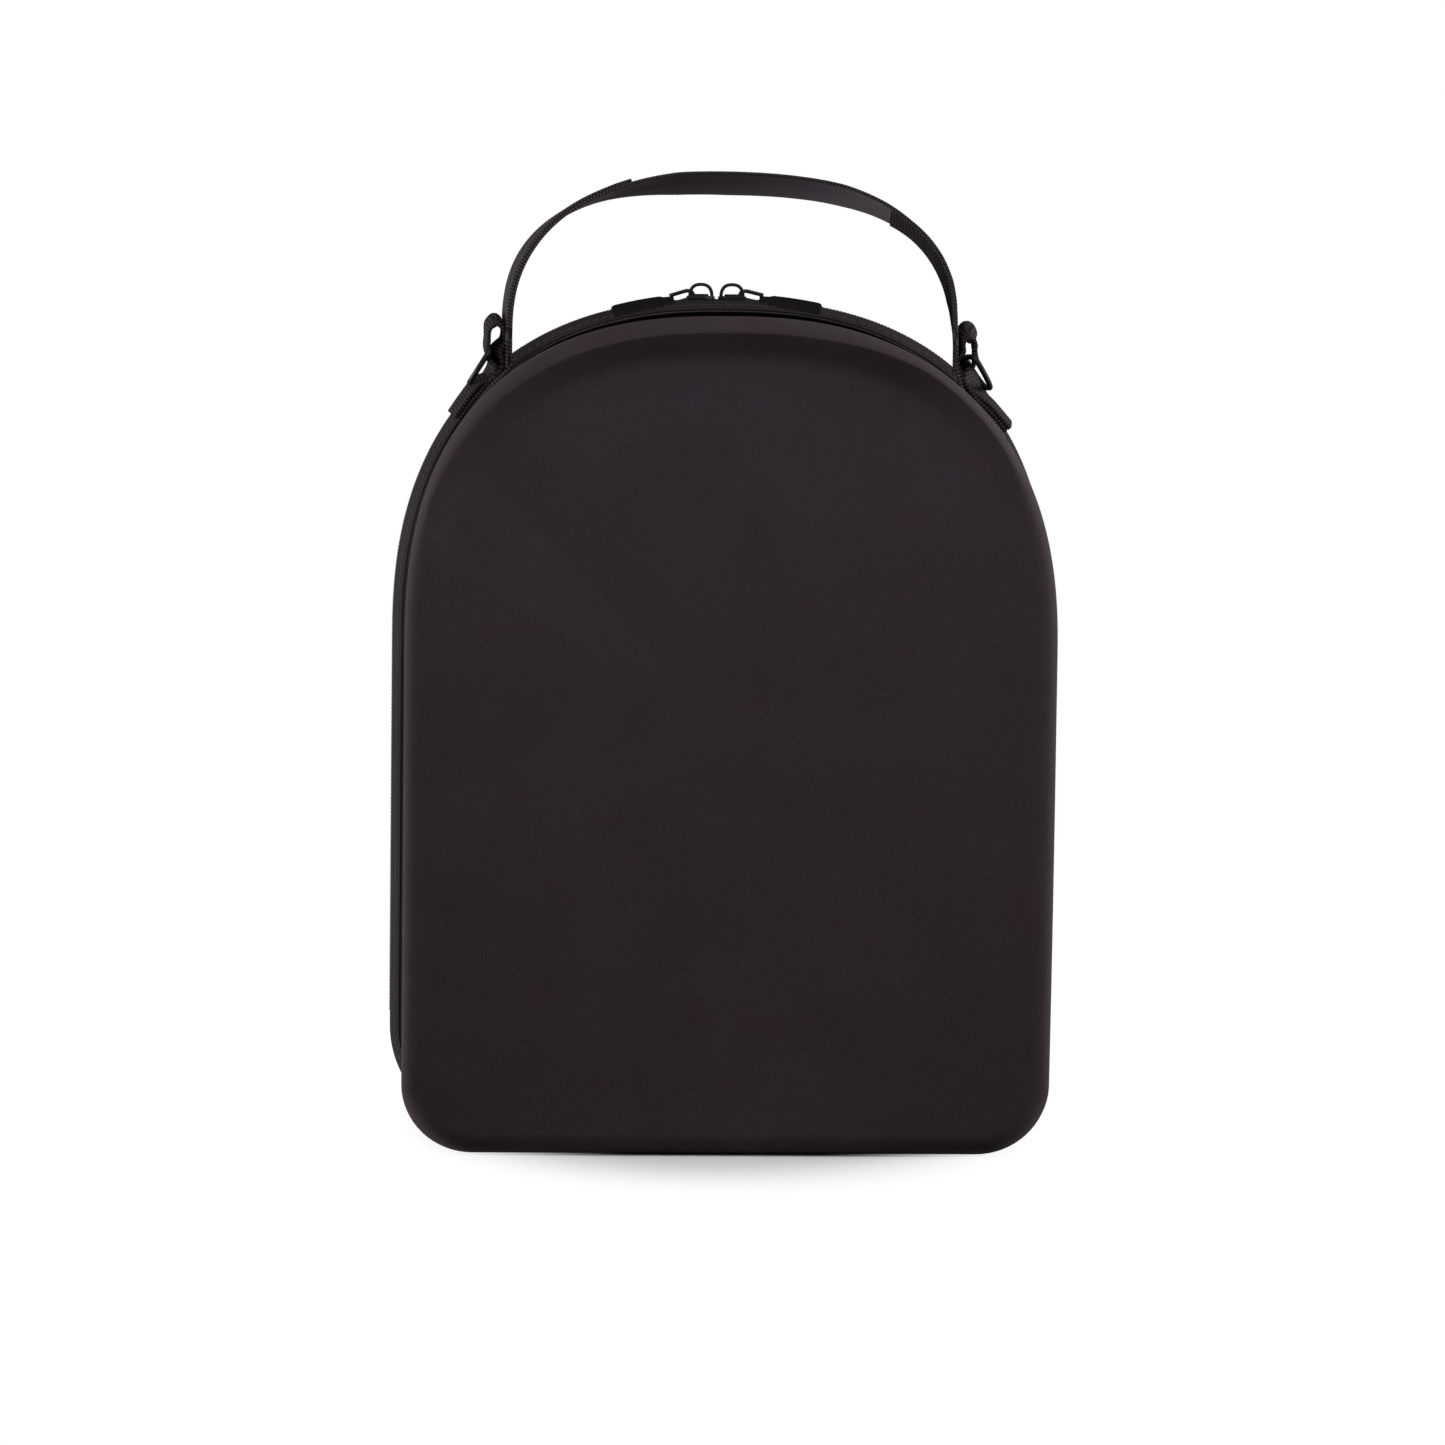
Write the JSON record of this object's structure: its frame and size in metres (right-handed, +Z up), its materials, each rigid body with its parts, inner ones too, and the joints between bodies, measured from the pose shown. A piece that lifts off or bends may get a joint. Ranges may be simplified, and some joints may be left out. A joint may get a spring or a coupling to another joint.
{
  "type": "cap carrier",
  "caption": "Hard moulded carrying case for caps with an arched top, a zipped rim, a webbing carry strap and a metal ring in a webbing loop at each shoulder.",
  "frame": {"origin": "middle of the box on the plane that the case stands on", "axes": "+X to the right seen from the plain back panel, +Y from the back panel towards the front, +Z up"},
  "size_m": [0.238, 0.156, 0.3461],
  "materials": {
    "shell_cloth": "matt cloth face moulded over foam",
    "zip_tape": "woven tape, matt",
    "zip_coil": "nylon teeth, satin",
    "webbing": "ribbed webbing, matt",
    "black_metal": "black lacquered wire, satin",
    "pull_rubber": "moulded rubber, satin"
  },
  "bodies": {
    "carrier": {"back_shell": "shell_cloth", "front_shell": "shell_cloth", "zip_tape_back": "zip_tape", "zip_tape_front": "zip_tape", "zip_coil": "zip_coil", "hinge_strip": "zip_tape", "strap": "webbing", "strap_double_left": "webbing", "strap_double_right": "webbing", "ring_loop_left": "webbing", "ring_loop_right": "webbing", "zip_slider_left": "black_metal", "zip_slider_right": "black_metal", "zip_link_left": "black_metal", "zip_link_right": "black_metal", "zip_pull_left": "pull_rubber", "zip_pull_right": "pull_rubber"},
    "ring_left": {"d_ring_left": "black_metal"},
    "ring_right": {"d_ring_right": "black_metal"}
  },
  "joints": [
    {"name": "ring_left_swing", "type": "hinge", "parent": "carrier", "child": "ring_left", "pos_m": [-0.0849, -0.028, 0.2805], "axis": [0, 1, 0], "range_deg": [0, 115]},
    {"name": "ring_right_swing", "type": "hinge", "parent": "carrier", "child": "ring_right", "pos_m": [0.0856, -0.028, 0.2805], "axis": [0, -1, 0], "range_deg": [0, 115]}
  ]
}
